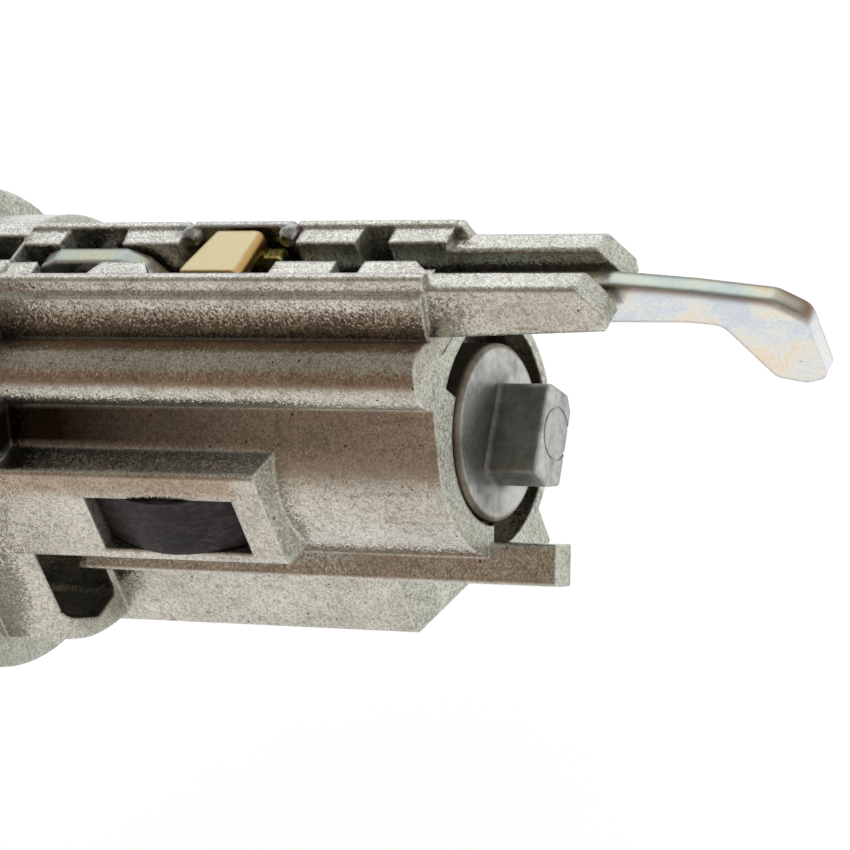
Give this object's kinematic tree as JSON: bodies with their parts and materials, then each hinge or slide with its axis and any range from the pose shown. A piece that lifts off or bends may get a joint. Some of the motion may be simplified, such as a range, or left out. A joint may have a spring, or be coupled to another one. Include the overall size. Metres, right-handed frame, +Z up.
{
  "type": "ignition lock cylinder",
  "caption": "Die-cast ignition lock cylinder with a stepped front collar, ribbed barrel, toothed top channel, hooked release lever, brass latch, side plunger and offset drive block.",
  "frame": {"origin": "on the lock axis, at the shoulder between the front collar and the flange", "axes": "+X along the lock axis from the key end to the drive end, +Z up through the lever channel, -Y towards the side plunger"},
  "size_m": [0.1034, 0.044, 0.0447],
  "materials": {
    "zinc_casting": "tumbled zinc die casting, speckled, satin",
    "zinc_plug": "smooth zinc die casting, scuffed",
    "bright_steel": "bright stainless sheet",
    "steel_pin": "ground steel",
    "brass": "yellow chromate, worn on the top",
    "plated_steel": "white zinc plate, smooth",
    "spring_steel": "drawn spring wire",
    "wafer_brass": "stamped brass",
    "dark_plastic": "satin dark acetal"
  },
  "bodies": {
    "housing": {"housing": "zinc_casting", "retaining_pin": "steel_pin", "lever_pin": "steel_pin", "latch_springs": "spring_steel", "lever_spring": "spring_steel", "plunger_springs": "spring_steel"},
    "plug": {"plug": "zinc_plug", "face_cap": "bright_steel", "shutter_pin": "steel_pin", "shutter_spring": "spring_steel", "wafer_spring_1": "spring_steel", "wafer_spring_2": "spring_steel", "wafer_spring_3": "spring_steel", "wafer_spring_4": "spring_steel", "wafer_spring_5": "spring_steel", "wafer_spring_6": "spring_steel", "wafer_spring_7": "spring_steel", "wafer_spring_8": "spring_steel"},
    "wafer_1": {"wafer_1": "wafer_brass"},
    "wafer_2": {"wafer_2": "wafer_brass"},
    "wafer_3": {"wafer_3": "wafer_brass"},
    "wafer_4": {"wafer_4": "wafer_brass"},
    "wafer_5": {"wafer_5": "wafer_brass"},
    "wafer_6": {"wafer_6": "wafer_brass"},
    "wafer_7": {"wafer_7": "wafer_brass"},
    "wafer_8": {"wafer_8": "wafer_brass"},
    "shutter": {"shutter": "bright_steel"},
    "latch": {"latch": "brass"},
    "lever": {"lever": "plated_steel"},
    "side_plunger": {"side_plunger": "dark_plastic"}
  },
  "joints": [
    {"name": "plug_turn", "type": "hinge", "parent": "housing", "child": "plug", "pos_m": [0, 0, 0], "axis": [1, 0, 0], "range_deg": [0, 115]},
    {"name": "wafer_1_slide", "type": "slide", "parent": "plug", "child": "wafer_1", "axis": [0, 0, 1], "range_m": [-0.0009, 0], "stiffness_N_per_m": 40, "springref_m": 0.0005, "deforming": ["wafer_spring_1"]},
    {"name": "wafer_2_slide", "type": "slide", "parent": "plug", "child": "wafer_2", "axis": [0, 0, 1], "range_m": [-0.0009, 0], "stiffness_N_per_m": 40, "springref_m": 0.0005, "deforming": ["wafer_spring_2"]},
    {"name": "wafer_3_slide", "type": "slide", "parent": "plug", "child": "wafer_3", "axis": [0, 0, 1], "range_m": [-0.0009, 0], "stiffness_N_per_m": 40, "springref_m": 0.0005, "deforming": ["wafer_spring_3"]},
    {"name": "wafer_4_slide", "type": "slide", "parent": "plug", "child": "wafer_4", "axis": [0, 0, 1], "range_m": [-0.0009, 0], "stiffness_N_per_m": 40, "springref_m": 0.0005, "deforming": ["wafer_spring_4"]},
    {"name": "wafer_5_slide", "type": "slide", "parent": "plug", "child": "wafer_5", "axis": [0, 0, 1], "range_m": [-0.0009, 0], "stiffness_N_per_m": 40, "springref_m": 0.0005, "deforming": ["wafer_spring_5"]},
    {"name": "wafer_6_slide", "type": "slide", "parent": "plug", "child": "wafer_6", "axis": [0, 0, 1], "range_m": [-0.0009, 0], "stiffness_N_per_m": 40, "springref_m": 0.0005, "deforming": ["wafer_spring_6"]},
    {"name": "wafer_7_slide", "type": "slide", "parent": "plug", "child": "wafer_7", "axis": [0, 0, 1], "range_m": [-0.0009, 0], "stiffness_N_per_m": 40, "springref_m": 0.0005, "deforming": ["wafer_spring_7"]},
    {"name": "wafer_8_slide", "type": "slide", "parent": "plug", "child": "wafer_8", "axis": [0, 0, 1], "range_m": [-0.0009, 0], "stiffness_N_per_m": 40, "springref_m": 0.0005, "deforming": ["wafer_spring_8"]},
    {"name": "shutter_swing", "type": "hinge", "parent": "plug", "child": "shutter", "pos_m": [-0.0107, 0, 0.0049], "axis": [0, -1, 0], "range_deg": [0, 80], "stiffness_Nm_per_rad": 0.0001, "springref_deg": -17.19, "deforming": ["shutter_spring"]},
    {"name": "latch_press", "type": "slide", "parent": "housing", "child": "latch", "axis": [0, 0, 1], "range_m": [-0.0008, 0], "stiffness_N_per_m": 200, "springref_m": 0.0005, "deforming": ["latch_springs"]},
    {"name": "lever_swing", "type": "hinge", "parent": "housing", "child": "lever", "pos_m": [0.0228, 0, 0.0168], "axis": [0, -1, 0], "range_deg": [0, 2], "stiffness_Nm_per_rad": 0.03, "springref_deg": -5.73, "deforming": ["lever_spring"]},
    {"name": "plunger_press", "type": "slide", "parent": "housing", "child": "side_plunger", "axis": [0, 1, 0], "range_m": [0, 0.0012], "stiffness_N_per_m": 30, "springref_m": -0.0005, "deforming": ["plunger_springs"]}
  ]
}
